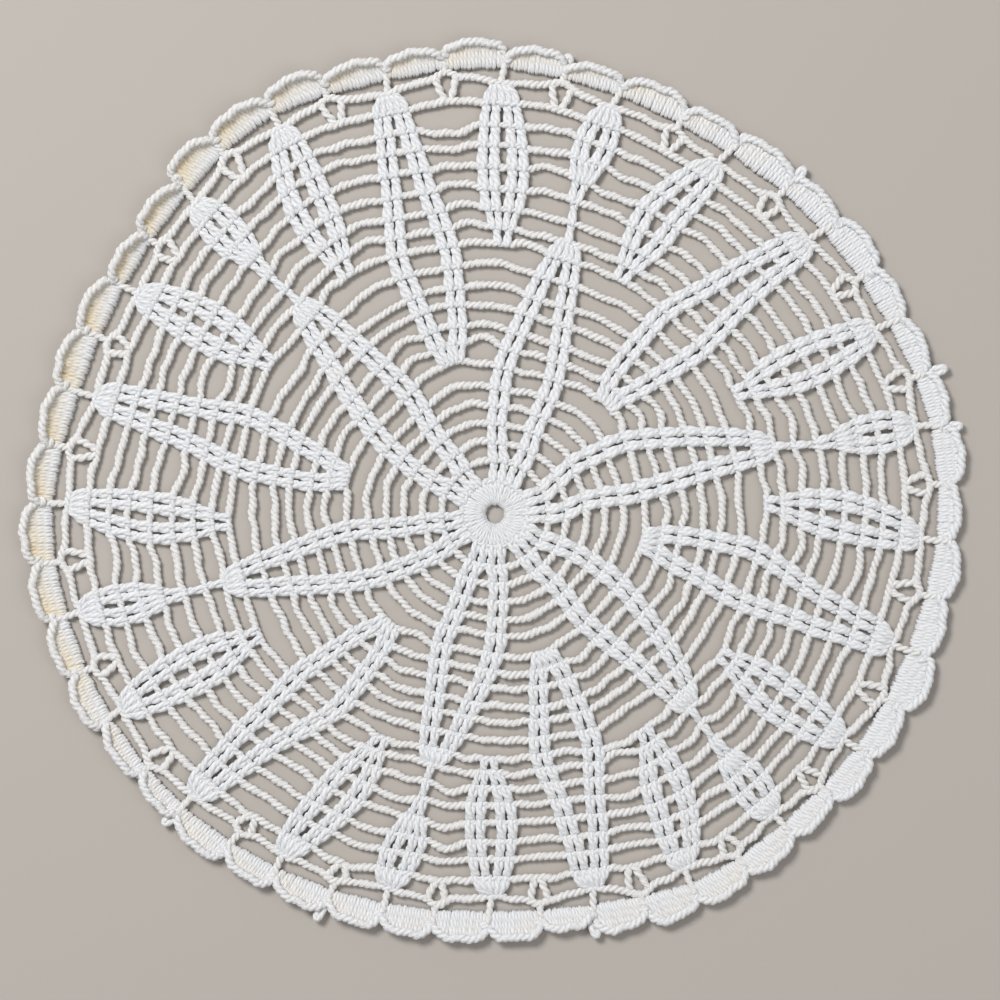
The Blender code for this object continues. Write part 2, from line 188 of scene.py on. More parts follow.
OUTER_WEBS = (
    # direction, lines 14 to 21
    (8, 90.7, 97.4, 105.2, 112.9, 118.1, 125.5, 131.9, 138.7),
    (21, 90.3, 96.5, 103.9, 109.0, 116.1, 122.9, 129.4, 135.5),
    (38, 91.6, 97.4, 103.6, 111.0, 116.8, 122.3, 128.1, 134.2),
    (56, 91.6, 97.7, 104.5, 110.3, 117.4, 123.2, 129.7, 135.8),
    (72, 92.9, 100.0, 106.1, 112.6, 118.1, 124.8, 131.9, 138.4),
    (82, 92.9, 100.0, 106.8, 112.9, 120.0, 124.8, 132.3, 138.7),
    (98, 93.2, 99.4, 103.9, 111.3, 118.4, 122.9, 129.4, 136.8),
    (115, 90.0, 96.5, 102.9, 109.0, 115.5, 120.7, 128.7, 136.5),
    (130, 90.0, 97.1, 102.9, 109.7, 115.2, 120.7, 128.1, 134.2),
    (141, 90.0, 96.5, 102.3, 108.1, 113.6, 119.4, 127.1, 132.6),
    (156, 86.5, 93.6, 100.0, 104.8, 109.7, 115.2, 121.9, 129.4),
    (173, 84.5, 89.4, 94.2, 99.7, 105.5, 111.3, 118.1, 124.8),
    (188, 83.9, 90.7, 95.2, 102.3, 108.7, 112.9, 119.4, 125.2),
    (202, 83.2, 89.7, 96.8, 101.6, 109.0, 115.2, 122.9, 127.4),
    (218, 87.1, 91.9, 97.4, 103.6, 110.7, 117.4, 124.8, 129.7),
    (234, 89.4, 95.8, 101.6, 108.1, 113.9, 120.7, 128.7, 135.5),
    (250, 90.0, 96.1, 103.6, 110.7, 116.8, 124.2, 130.3, 136.5),
    (262, 89.7, 96.8, 103.6, 110.3, 116.8, 122.6, 131.3, 138.7),
    (278, 90.7, 95.8, 101.6, 109.7, 115.8, 122.6, 129.7, 136.8),
    (295, 90.7, 95.5, 104.2, 109.7, 116.1, 121.3, 128.7, 134.5),
    (310, 92.9, 98.7, 104.8, 112.6, 119.4, 125.2, 131.3, 137.1),
    (322, 94.5, 101.6, 108.7, 115.2, 121.9, 127.7, 135.5, 142.3),
    (337, 96.8, 102.6, 109.0, 116.1, 122.9, 128.4, 135.5, 142.3),
    (353, 94.2, 100.7, 107.4, 112.9, 118.7, 123.6, 133.6, 141.3),
)

# Scallops: the direction of the post that ties each one's near end, and its crest's distance from
# the middle. Posts come in turn from a leaf's tip and from the fork between two leaves.
SCALLOPS = (
    (1.3, 151.0), (8.9, 148.4), (16.6, 148.4), (25.3, 147.1), (33.3, 148.4), (41.6, 148.4),
    (49.5, 150.0), (57.0, 149.0), (64.4, 149.4), (71.8, 150.7), (79.0, 152.6), (86.0, 150.3),
    (93.4, 151.0), (100.6, 149.7), (108.3, 151.0), (115.4, 148.1), (122.8, 147.1), (130.0, 144.5),
    (137.3, 144.8), (144.8, 144.5), (152.2, 143.6), (159.0, 140.7), (166.2, 136.5), (173.4, 137.8),
    (181.0, 138.4), (188.7, 139.0), (195.8, 140.0), (203.5, 141.3), (211.2, 142.6), (218.7, 145.2),
    (226.6, 144.8), (233.8, 146.1), (241.7, 149.0), (249.0, 149.7), (256.5, 151.6), (263.8, 152.9),
    (271.3, 151.0), (278.8, 149.7), (286.4, 149.7), (294.0, 149.4), (301.3, 148.1), (308.7, 150.3),
    (316.2, 154.8), (323.0, 155.5), (331.0, 155.8), (338.2, 152.9), (346.0, 151.9), (353.5, 153.2),
)
# Small loops that stand out from the rim: direction, and how far their ends are from the middle.
PICOTS = (
    (9.0, 150.3), (33.3, 147.1), (41.6, 150.3), (64.3, 146.8), (72.0, 153.6), (79.5, 153.6),
    (137.5, 142.6), (166.3, 141.0), (204.5, 143.6), (226.0, 146.8), (241.5, 147.1),
)
# How deep the cream tint of the edging is, by direction, from 0 for white to 1.
CREAM = (
    (0, 0.45), (20, 0.4), (35, 0.1), (60, 0.0), (130, 0.05), (145, 0.25), (160, 0.2), (185, 0.15),
    (215, 0.3), (235, 0.35), (255, 0.8), (290, 0.9), (315, 1.0), (330, 0.7), (345, 0.6), (360, 0.45),
)
CREAM_FAR_END = (190, 248)  # directions between which scallops are cream at their second ends
NOTCH_DEPTH = 4.7


def periodic(rows, degrees):
    """A smooth curve through rows of values that stand at equal steps round the circle."""
    count = len(rows)
    turn = np.asarray(degrees, float) * count / 360.0
    whole = np.floor(turn).astype(int)
    t = (turn - whole)[..., None]
    before, here, there, after = (rows[(whole + k) % count] for k in (-1, 0, 1, 2))
    return 0.5 * (
        2 * here
        + (there - before) * t
        + (2 * before - 5 * here + 4 * there - after) * t**2
        + (3 * here - before - 3 * there + after) * t**3
    )


PULLS = np.array(PULLED)[:, : len(PULLED_LINES)] / np.array(LINE_RADIUS)[list(PULLED_LINES)]
CURLS = np.array(PULLED)[:, -1:]


def radius(line, degrees):
    """How far lines of stitches are from the middle in the directions given."""
    line, degrees = np.broadcast_arrays(np.asarray(line, float), np.asarray(degrees, float))
    pulls = periodic(PULLS, degrees)
    fixed = np.ones(degrees.shape + (2,))
    pulls = np.concatenate([fixed, pulls], axis=-1)
    lines = np.array((0, 1) + PULLED_LINES, float)
    low = np.clip(np.searchsorted(lines, line, side="right") - 1, 0, len(lines) - 2)
    part = np.clip((line - lines[low]) / (lines[low + 1] - lines[low]), 0.0, 1.0)
    start = np.take_along_axis(pulls, low[..., None], -1)[..., 0]
    end = np.take_along_axis(pulls, low[..., None] + 1, -1)[..., 0]
    mean = np.interp(line, np.arange(len(LINE_RADIUS)), LINE_RADIUS)
    return mean * (start + (end - start) * part)


def curl(degrees):
    """How far the scallops curl up in a direction."""
    return periodic(CURLS, degrees)[..., 0]


def direction(column, line):
    """Where the middle of a column of posts is on a line, in degrees."""
    return np.interp(line, COLUMN_LINES[column[0]], column[1:])


def half_width(column, line):
    """Half a column's width over all on a line."""
    shape = np.array(COLUMN_SHAPE[column[0]])
    return np.interp(line, shape[:, 0], shape[:, 1])


def half_opening(column, line):
    """Half the width of the opening up a column's middle on a line."""
    shape = np.array(COLUMN_SHAPE[column[0]])
    outside = OPEN_TIGHTER.get(column[-1], OPEN_OUTSIDE)
    drawn = np.where(np.asarray(line) > OUTER_PART, outside, OPEN_INSIDE)
    return drawn * np.interp(line, shape[:, 0], shape[:, 2])


def first_line(column):
    """The line on which a column starts."""
    return COLUMN_SHAPE[column[0]][0][0]


def spot(distance, degrees, height):
    """Points of the sheet from their distance, direction and height."""
    angle = np.radians(degrees)
    x = distance * np.sin(angle) + RING_CENTRE[0]
    y = distance * np.cos(angle) + RING_CENTRE[1]
    return np.stack(np.broadcast_arrays(x, y, height), axis=-1)


def clockwise(degrees):
    """The level direction clockwise round the rings, at a direction from the middle."""
    return spot(1.0, degrees + 90.0, 0.0) - spot(0.0, 0.0, 0.0)


def unit(vectors):
    """Vectors of length one."""
    return vectors / np.maximum(np.linalg.norm(vectors, axis=-1, keepdims=True), 1e-9)


YARN_MAP = "yarn"
TINT = "cream"
CHAIN_STEPS = 4  # points along one chain stitch
# How far the two strands of a cord swing aside and rise, as shares of its width, and by what share
# a strand is plumper where it lies on top, and where a stitch is at its middle.
CHAIN_SWING, CHAIN_RISE, CHAIN_SWELL, CHAIN_KNOTS = 0.155, 0.13, 0.07, 0.1


class Thread:
    """Lengths of yarn, gathered as round tubes and made into one mesh."""

    def __init__(self):
        self.points, self.tints, self.corners, self.sizes, self.maps = [], [], [], [], []
        self.count = 0

    def add_faces(self, corners, maps):
        """Adds faces, an array of (faces, corners), with a place on the map for each corner."""
        self.corners.append(corners.reshape(-1))
        self.sizes.append(np.full(len(corners), corners.shape[1]))
        self.maps.append(maps.reshape(-1, 2))

    def run(self, paths, thickness, across, closed=False, tint=0.0, sides=6):
        """Adds tubes along paths, an array of (tubes, points, 3).

        across is a direction that no path follows, from which the tube's sides are set out.
        """
        paths = np.asarray(paths, float)
        if closed:
            ahead = unit(np.roll(paths, -1, axis=1) - np.roll(paths, 1, axis=1))
        else:
            ahead = unit(np.gradient(paths, axis=1))
        side = across - (across * ahead).sum(-1, keepdims=True) * ahead
        side = unit(side)
        up = np.cross(ahead, side)
        tubes, steps = paths.shape[:2]
        turn = np.linspace(0, 2 * np.pi, sides, endpoint=False)
        ring = side[:, :, None] * np.cos(turn)[:, None] + up[:, :, None] * np.sin(turn)[:, None]
        thickness = np.broadcast_to(thickness, (tubes, steps))
        self.points.append((paths[:, :, None] + ring * thickness[..., None, None] / 2).reshape(-1, 3))
        self.tints.append(np.repeat(np.broadcast_to(tint, (tubes, steps)).reshape(-1), sides))
        index = self.count + np.arange(tubes * steps * sides).reshape(tubes, steps, sides)
        self.count += index.size
        beyond = np.roll(index, -1, axis=1)
        length = np.linalg.norm(np.roll(paths, -1, axis=1) - paths, axis=-1)
        along = np.concatenate([np.zeros((tubes, 1)), np.cumsum(length, axis=1)], axis=1)
        if not closed:
            for cap in (index[:, 0, ::-1], index[:, -1]):
                self.add_faces(cap, np.zeros(cap.shape + (2,)))
            index, beyond, along = index[:, :-1], beyond[:, :-1], along[:, :-1]
        quads = np.stack([index, np.roll(index, -1, 2), np.roll(beyond, -1, 2), beyond], axis=-1)
        start = np.broadcast_to(along[:, :-1, None], index.shape)
        end = np.broadcast_to(along[:, 1:, None], index.shape)
        low = np.broadcast_to(np.arange(sides) / sides, index.shape)
        high = low + 1 / sides
        corners = ((start, low), (start, high), (end, high), (end, low))
        maps = np.stack([np.stack(corner, axis=-1) for corner in corners], axis=-2)
        self.add_faces(quads.reshape(-1, 4), maps)

    def rope(self, course, width, closed=False, phase=0.0, tint=0.0, twist=1.0):
        """Adds a cord of chain stitch, two rounded strands turning about each other.

        course holds CHAIN_STEPS points for each stitch; width is the cord's over all.
        """
        turn = np.arange(len(course))
        ahead = np.roll(course, -1, 0) - np.roll(course, 1, 0)
        if not closed:
            ahead = np.gradient(course, axis=0)
        side = unit(np.cross(unit(ahead), UP))
        lift = unit(np.cross(side, unit(ahead)))
        angle = phase + np.pi * turn / CHAIN_STEPS
        swing = (np.cos(angle) * width * CHAIN_SWING * twist)[:, None] * side
        rise = (np.sin(angle) * width * CHAIN_RISE * twist)[:, None] * lift
        paths = np.stack([course + swing + rise, course - swing - rise])
        swell = 1 + CHAIN_SWELL * np.sin(angle) * np.array([[1.0], [-1.0]])
        swell = swell + CHAIN_KNOTS * np.cos(2 * angle)
        self.run(paths, width * (1 - 2 * CHAIN_SWING * twist) * swell, UP, closed, tint)

    def mesh(self, name):
        """Everything gathered, as a mesh in metres with a map along and round the yarn."""
        mesh = bpy.data.meshes.new(name)
        points = np.concatenate(self.points) * MM
        corners = np.concatenate(self.corners)
        sizes = np.concatenate(self.sizes)
        mesh.vertices.add(len(points))
        mesh.vertices.foreach_set("co", points.reshape(-1).astype(np.float32))
        mesh.loops.add(len(corners))
        mesh.loops.foreach_set("vertex_index", corners.astype(np.int32))
        mesh.polygons.add(len(sizes))
        mesh.polygons.foreach_set("loop_start", (np.cumsum(sizes) - sizes).astype(np.int32))
        mesh.update(calc_edges=True)
        mesh.polygons.foreach_set("use_smooth", np.ones(len(sizes), bool))
        layer = mesh.uv_layers.new(name=YARN_MAP)
        maps = np.concatenate(self.maps)
        layer.data.foreach_set("uv", maps.reshape(-1).astype(np.float32))
        tint = mesh.attributes.new(TINT, "FLOAT", "POINT")
        tint.data.foreach_set("value", np.concatenate(self.tints).astype(np.float32))
        mesh.update()
        return mesh


def evenly(course, step, closed, multiple=1):
    """The same course, and any values that go with its points, about a step apart."""
    if closed:
        course = np.concatenate([course, course[:1]])
    length = np.linalg.norm(np.diff(course[:, :3], axis=0), axis=1)
    length = np.concatenate([[0.0], np.cumsum(length)])
    count = max(1, round(length[-1] / step / multiple)) * multiple
    at = np.linspace(0, length[-1], count + 1)
    if closed:
        at = at[:-1]
    return np.stack([np.interp(at, length, values) for values in course.T], axis=-1)


def smooth_round(values, window):
    """A run of values round the circle, averaged over a window of samples."""
    window = max(1, int(window) | 1)
    padded = np.concatenate([values[-window:], values, values[:window]])
    kernel = np.hanning(window + 2)[1:-1]
    return np.convolve(padded, kernel / kernel.sum(), mode="same")[window:-window]


RING_SAMPLES = 2880
RING_DEGREES = np.arange(RING_SAMPLES) * 360.0 / RING_SAMPLES
WEB_HEIGHT = 1.45
OVER_COLUMN = 1.7
OVER_WIDTH = 0.8  # a chain's width over the posts, as a share of its width between them
BOW_POWER = 2.2  # how evenly a loose chain bows from one column to the next
SAG_WINDOW, COLUMN_WINDOW = 3.0, 1.6  # lengths over which a sag and a column's side are evened out
STRAY = 0.25  # how far loose chains wander by themselves
STRAY_WAVES = (8.0, 14.0, 27.0)  # lengths of the waves in which they wander
STITCH_WIDTHS = (0.84, 1.12)  # narrowest and widest stitch, as shares of a chain's width
TWIST_OVER_COLUMN = 0.65  # share of a chain's twist that shows over the posts
DISC_LINE, DISC_RAISED = 1, 0.05  # the ring round the disc, and how much higher it lies
FORK_HALF_WIDTH = 3.2
FORK_BULGE = 2.0  # how far the last ring is drawn out above each fork
CHAIN_TINT = 0.15


def columns_on(line):
    """The columns that a line of stitches crosses, clockwise."""
    return [column for column in COLUMNS if first_line(column) <= line]


def web_depth(line, degrees):
    """How far from the middle the loose chain of a line runs near a direction, or None."""
    for lines, webs in ((INNER_WEB_LINES, INNER_WEBS), (OUTER_WEB_LINES, OUTER_WEBS)):
        if line in lines:
            nearest = min(webs, key=lambda web: abs((web[0] - degrees + 180) % 360 - 180))
            return nearest[1 + lines.index(line)]
    return None


@functools.lru_cache(maxsize=None)
def ring(line):
    """Round a line: its distance from the middle, and how much of a column is under it."""
    distance = radius(line, RING_DEGREES)
    under = np.zeros(RING_SAMPLES)
    sag = np.zeros(RING_SAMPLES)
    columns = columns_on(line)
    for column, following in zip(columns, columns[1:] + columns[:1]):
        middle = direction(column, line)
        degree = math.degrees(1.0 / radius(line, middle))
        offset = np.abs((RING_DEGREES - middle + 180) % 360 - 180)
        wide, gap = half_width(column, line), half_opening(column, line)
        under[(offset <= wide * degree) & (offset >= gap * degree)] = 1.0
        start = middle + wide * degree
        end = direction(following, line) - half_width(following, line) * degree
        width = (end - start) % 360
        centre = start + width / 2
        depth = web_depth(line, centre)
        if depth is not None:
            share = ((RING_DEGREES - start) % 360) / width
            bow = np.clip(1 - np.abs(2 * share - 1) ** BOW_POWER, 0, None) * (share < 1)
            sag += (depth - radius(line, centre)) * bow
    spacing = 2 * math.pi * LINE_RADIUS[line] / RING_SAMPLES
    distance = distance + smooth_round(sag, SAG_WINDOW / spacing)
    if line == LAST_RING:
        for joint, _ in SCALLOPS[1::2]:
            offset = (RING_DEGREES - joint + 180) % 360 - 180
            offset = offset / math.degrees(1 / LINE_RADIUS[line])
            distance += FORK_BULGE * np.exp(-((offset / FORK_HALF_WIDTH) ** 2))
    return distance, smooth_round(under, COLUMN_WINDOW / spacing)


def ring_reach(line, degrees):
    """How far from the middle a ring of chain runs in a direction."""
    return np.interp(np.asarray(degrees) % 360, RING_DEGREES, ring(line)[0])


def add_chain_ring(thread, line, chain_width, stitch, random):
    """One closed ring of chain stitches along a line."""
    distance, under = ring(line)
    stray = np.zeros(RING_SAMPLES)
    for wavelength in STRAY_WAVES:
        waves = max(1, round(2 * math.pi * LINE_RADIUS[line] / wavelength))
        for count in (waves, waves + 1):
            stray += np.sin(np.radians(RING_DEGREES) * count + random.uniform(0, 2 * math.pi))
    distance = distance + STRAY * stray * (1 - under) / 2
    height = WEB_HEIGHT + (OVER_COLUMN - WEB_HEIGHT) * under
    if line == DISC_LINE:
        height += DISC_RAISED
    course = np.column_stack([spot(distance, RING_DEGREES, height), under])
    course = evenly(course, stitch / CHAIN_STEPS, True, 2 * CHAIN_STEPS)
    uneven = np.repeat(random.uniform(*STITCH_WIDTHS, len(course) // CHAIN_STEPS), CHAIN_STEPS)
    under = course[:, 3]
    width = chain_width * (1 - (1 - OVER_WIDTH) * under) * smooth_round(uneven, 5)
    tint = CHAIN_TINT * (1 - under)
    phase = random.uniform(0, math.pi)
    twist = 1 - (1 - TWIST_OVER_COLUMN) * under
    thread.rope(course[:, :3], width, True, phase, tint, twist)


# A post's two strands: the first comes over the chain that the post stands on, the second from
# behind it, and both end under the next chain.
POST_STRANDS = (
    # share of the post's height, height over the floor, distance aside, thickness
    (
        (-0.22, 1.5, 0.1, 1.2), (-0.03, 2.15, 0.35, 1.5), (0.16, 2.0, 0.6, 1.9),
        (0.42, 1.9, 0.45, 1.95), (0.66, 1.7, -0.2, 2.1), (0.86, 1.25, -0.5, 1.7),
    ),
    (
        (0.0, 1.5, -0.5, 1.6), (0.17, 1.6, -0.62, 2.0), (0.34, 1.5, -0.58, 1.95),
        (0.52, 1.45, -0.25, 2.1), (0.70, 1.45, 0.5, 2.15), (0.87, 1.2, 0.5, 1.7),
    ),
)
FAN_STRANDS = (
    # the same columns
    (
        (-0.2, 1.4, 0.1, 1.1), (-0.02, 2.1, 0.25, 1.5), (0.2, 1.95, 0.4, 1.9),
        (0.5, 2.0, 0.25, 1.9), (0.78, 1.85, -0.2, 1.75), (0.97, 1.4, -0.25, 1.3),
    ),
    (
        (0.0, 1.4, -0.4, 1.5), (0.2, 1.7, -0.45, 1.95), (0.42, 1.7, -0.3, 1.95),
        (0.64, 1.7, 0.1, 1.9), (0.82, 1.65, 0.35, 1.7), (0.97, 1.35, 0.25, 1.3),
    ),
)
LOWEST = -1.0  # a strand may reach this far under its post, in shares of its height
FIRST_LOWEST = np.array((-0.06, -0.03, 0.0, 0.0, 0.0, 0.0))  # but posts on a bare chain, only this
# Posts side by side: their places, as shares of the way from the column's opening to its side.
ONE_POST = (0.0,)
TWO_POSTS = (-0.5, 0.5)
FOUR_POSTS = (-0.76, -0.26, 0.26, 0.76)
FAN_POSTS = (-0.8, -0.4, 0.0, 0.4, 0.8)
# The rounds in which a kind of column has a fan, one post or two; it has four in all others.
FAN_ROUNDS = {"inner": (14, 18, 21), "long": (8, 21), "middle": (21,)}
ONE_POST_ROUNDS = {"inner": (15, 16), "long": (), "middle": ()}
TWO_POST_ROUNDS = {"inner": (17,), "long": (), "middle": (14,)}
POST_ROOM = 2.85  # the room that a post fills side to side
POST_WIDTHS = (0.72, 1.35)  # thinnest and plumpest post
POST_STRAY, POST_LEAN = 0.15, 0.25  # how far a post stands aside and leans, at most
POST_MIDDLE = 0.4  # share of its height about which a post leans


def add_post(thread, place_at, random, width=1.0, strands=POST_STRANDS):
    """A post's two plump strands; place_at gives its middle at shares of its height."""
    for strand in strands:
        share, rise, aside, size = np.array(strand).T
        course = place_at(share)
        side = unit(np.cross(unit(np.gradient(course, axis=0)), UP))
        aside = aside * width * random.uniform(0.9, 1.1, len(share))
        rise = rise + random.uniform(-0.1, 0.1, len(share))
        size = size * width * random.uniform(0.94, 1.06, len(share))
        rise = np.maximum(rise, size / 2)
        thread.run((course + side * aside[:, None] + UP * rise[:, None])[None], size, UP)


def lowest_share(column, round_number):
    """How low the strands of a round's posts may start."""
    return FIRST_LOWEST if round_number == first_line(column) + 1 else LOWEST


def add_fan(thread, column, round_number, random):
    """A cluster of plump posts that draw together at one end, like the ribs of a shell."""
    lowest = lowest_share(column, round_number)
    for share in FAN_POSTS:
        share += random.uniform(-0.04, 0.04)

        def place_at(t):
            lines = round_number - 1 + np.maximum(t, lowest)
            middle = direction(column, lines)
            aside = share * half_width(column, lines)
            return spot(radius(lines, middle), middle + np.degrees(aside / radius(lines, middle)), 0.0)

        add_post(thread, place_at, random, random.uniform(1.04, 1.18), FAN_STRANDS)


def add_posts(thread, column, round_number, shares, random):
    """Posts of one column in one round; shares are of the way from the opening to the side."""
    width = 1.0
    lowest = lowest_share(column, round_number)
    if shares is FOUR_POSTS:
        middle = round_number - POST_MIDDLE
        room = half_width(column, middle) - half_opening(column, middle)
        width = np.clip(room / 2 / POST_ROOM, *POST_WIDTHS)
    for share in shares:
        stray = random.uniform(-POST_STRAY, POST_STRAY)
        lean = random.uniform(-POST_LEAN, POST_LEAN)

        def place_at(t):
            lines = round_number - 1 + np.maximum(t, lowest)
            wide, gap = half_width(column, lines), half_opening(column, lines)
            middle = direction(column, lines)
            across = np.sign(share) * gap + share * (wide - gap) + stray + lean * (t - POST_MIDDLE)
            degrees = middle + np.degrees(across / radius(lines, middle))
            return spot(radius(lines, degrees), degrees, 0.0)

        add_post(thread, place_at, random, width)


def add_columns(thread, random):
    """The posts of every column, round by round."""
    for column in COLUMNS:
        kind, start = column[0], int(first_line(column)) + 1
        for round_number in range(start, LAST_RING + 1):
            if round_number in FAN_ROUNDS[kind]:
                add_fan(thread, column, round_number, random)
            elif round_number in ONE_POST_ROUNDS[kind]:
                add_posts(thread, column, round_number, ONE_POST, random)
            elif round_number in TWO_POST_ROUNDS[kind]:
                add_posts(thread, column, round_number, TWO_POSTS, random)
            else:
                add_posts(thread, column, round_number, FOUR_POSTS, random)


DISC_STRANDS = 48
# Along a strand of the disc, from under the centre ring out: its distance from the middle, its
# height, its thickness and how much it strays.
DISC_REACH = np.array((4.2, 3.25, 3.25, 4.3, 6.1, 8.3, 11.3))
DISC_RISE = np.array((0.75, 0.95, 1.55, 1.9, 1.75, 1.75, 1.6))
DISC_STRAND = np.array((0.6, 0.75, 0.85, 1.15, 1.4, 1.7, 1.9))
DISC_STRAY = np.array((0.0, 0.0, 0.0, 0.5, 1.0, 1.0, 1.0))


def add_disc(thread, random):
    """The closed disc: posts worked over a ring of thread round the centre hole."""
    points = len(DISC_REACH)
    for i in range(DISC_STRANDS):
        degrees = (i + random.uniform(-0.2, 0.2)) * 360.0 / DISC_STRANDS
        stray = DISC_STRAY * random.uniform(-0.16, 0.16, points)
        reach = DISC_REACH + random.uniform(-0.15, 0.15)
        reach = reach + np.arange(points) * random.uniform(-0.08, 0.08)
        path = spot(reach, degrees + 6.0 * stray, DISC_RISE + stray)[None]
        thread.run(path, DISC_STRAND * random.uniform(0.85, 1.1, points), clockwise(degrees))


FORK_WIDTH = 2.8
FORK_SHARE = np.linspace(0.0, 1.0, 13)
FORK_ACROSS = 0.7 + 2.3 * np.sin(0.5 * np.pi * FORK_SHARE)  # from the fork's middle to an arm's
FORK_RISE = 1.3 + 0.3 * np.sin(np.pi * FORK_SHARE)


def add_forks(thread, random):
    """Pairs of short cords that rise from one point of a ring and part on their way to the next."""
    for joint, _ in SCALLOPS[1::2]:
        for side in (-1, 1):
            degrees = joint + np.degrees(side * FORK_ACROSS / LINE_RADIUS[LAST_RING])
            start = ring_reach(LAST_RING - 1, joint)
            reach = start + (ring_reach(LAST_RING, degrees[-1]) - start) * FORK_SHARE
            course = spot(reach, degrees, FORK_RISE)
            thread.rope(course, FORK_WIDTH, phase=random.uniform(0, math.pi), tint=CHAIN_TINT)


TIE_START, TIE_END = -0.4, 3.6  # how far a tie's ends lie beyond the last ring and the foot
TIE_WIDTH = 2.6
TIE_BEND = 0.5
TIE_SHARE = np.linspace(0.0, 1.0, 17)
TIE_RISE = 1.4 + 0.8 * TIE_SHARE


def add_ties(thread, random):
    """Cords from the last ring to the ends of the scallops."""
    for i, (joint, _) in enumerate(SCALLOPS):
        base = direction(COLUMNS[i // 2], LAST_RING) if i % 2 == 0 else joint
        bend = random.uniform(-TIE_BEND, TIE_BEND) * np.sin(np.pi * TIE_SHARE)
        degrees = base + (joint - base) * TIE_SHARE + np.degrees(bend / LINE_RADIUS[FOOT_LINE])
        start = ring_reach(LAST_RING, base) + TIE_START
        reach = start + (radius(FOOT_LINE, joint) + TIE_END - start) * TIE_SHARE
        course = spot(reach, degrees, TIE_RISE)
        thread.rope(course, TIE_WIDTH, phase=random.uniform(0, math.pi), tint=CHAIN_TINT)


STRANDS_A_SCALLOP = 16
# Along a strand, from under the foot of its scallop to the rim: its share of the way out, its
# height, the share of the curl that it takes, its thickness, how far clockwise it may lean, in
# degrees, and how cream it is.
STRAND_OUT = np.array((0.10, -0.06, 0.0, 0.18, 0.42, 0.68, 0.88, 1.0))
STRAND_UP = np.array((0.8, 1.1, 1.8, 2.05, 1.75, 1.7, 1.7, 1.7))
STRAND_RISE = np.array((0.0, 0.0, 0.0, 0.0, 0.1, 0.3, 0.6, 1.0))
STRAND_SIZE = np.array((0.9, 1.1, 1.4, 1.65, 1.95, 2.1, 1.9, 1.0))
STRAND_LEAN = np.array((-0.15, -0.15, -0.1, 0.0, 0.0, 0.1, 0.2, 0.2))
STRAND_CREAM = np.interp(STRAND_OUT, (0.1, 0.4, 0.7, 1.0), (0.1, 0.5, 1.0, 0.7))
LEVEL_RIM = 2.5  # height of the rim at which the strands take no curl
SCALLOP_POWER = 3.2  # how square the scallops are
FOOT_DRAWN_OUT = 0.9  # how far out the foot is drawn at a scallop's ends
# At a scallop's cream end and at its pale one: how deep the tint is, and the power that draws it away
# from the foot.
CREAM_DEPTH = (1.45, 0.35)
CREAM_POWER = (0.35, 1.65)
RIM_WIDTH = 2.85
RIM_LOWEST = 1.4
CURL_AT_END, CURL_AT_CREST = 0.1, 0.85  # shares of the curl that the rim takes along a scallop
RIM_POINTS = 25
RIM_STRAYS = ((0.25, 97), (0.2, 163))  # how far the rim strays, in how many waves round the doily
RIM_TWIST = 0.65
RIM_TINT = 0.2
RIM_END_HEIGHT, RIM_END_REACH = 1.5, 3.0  # where a rim's ends are tucked down, beyond the foot


def scallop_ends(i):
    """The directions of a scallop's two ends, the second one clockwise of the first."""
    start = SCALLOPS[i][0]
    end = SCALLOPS[(i + 1) % len(SCALLOPS)][0]
    return start, end + 360.0 if end < start else end


def swell(share):
    """How full a scallop is at a share of its length, from 0 at its ends to 1."""
    return np.sqrt(np.clip(1 - np.abs(2 * share - 1) ** SCALLOP_POWER, 0, 1))


def rim_point(i, share):
    """Distance, direction and height of the middle of the rim's cord along a scallop."""
    start, end = scallop_ends(i)
    degrees = start + (end - start) * share
    reach = SCALLOPS[i][1] - NOTCH_DEPTH * (1 - swell(share)) - RIM_WIDTH / 2
    for stray, waves in RIM_STRAYS:
        reach = reach + stray * np.sin(np.radians(degrees * waves))
    curled = CURL_AT_END + (CURL_AT_CREST - CURL_AT_END) * swell(share)
    height = RIM_LOWEST + curl(degrees) * curled
    return reach, degrees, height


def creaminess(degrees):
    """How cream the edging is in a direction."""
    table = np.array(CREAM, float)
    return np.interp(np.asarray(degrees) % 360, table[:, 0], table[:, 1])


def add_scallop(thread, i, random):
    """One scallop's strands, worked over its foot and curling up to the rim."""
    start, end = scallop_ends(i)
    for j in range(STRANDS_A_SCALLOP):
        share = (j + 1.1 + random.uniform(-0.18, 0.18)) / (STRANDS_A_SCALLOP + 1.0)
        reach, degrees, height = rim_point(i, share)
        foot = radius(FOOT_LINE, degrees) + random.uniform(-0.25, 0.25)
        foot = foot + FOOT_DRAWN_OUT * (1 - swell(share))
        up = STRAND_UP + (height - LEVEL_RIM) * STRAND_RISE
        up[2:6] += random.uniform(-0.12, 0.12)
        lean = degrees + STRAND_LEAN * random.uniform(0, 1)
        path = spot(foot + (reach - foot) * STRAND_OUT, lean, up)[None]
        toward_pale_end = 1 - share if CREAM_FAR_END[0] < start < CREAM_FAR_END[1] else share
        tint = np.interp(toward_pale_end, (0, 1), CREAM_DEPTH) * creaminess(degrees)
        tint = tint * STRAND_CREAM ** np.interp(toward_pale_end, (0, 1), CREAM_POWER)
        size = STRAND_SIZE * random.uniform(0.9, 1.1)
        thread.run(path, size, clockwise(degrees), tint=tint)


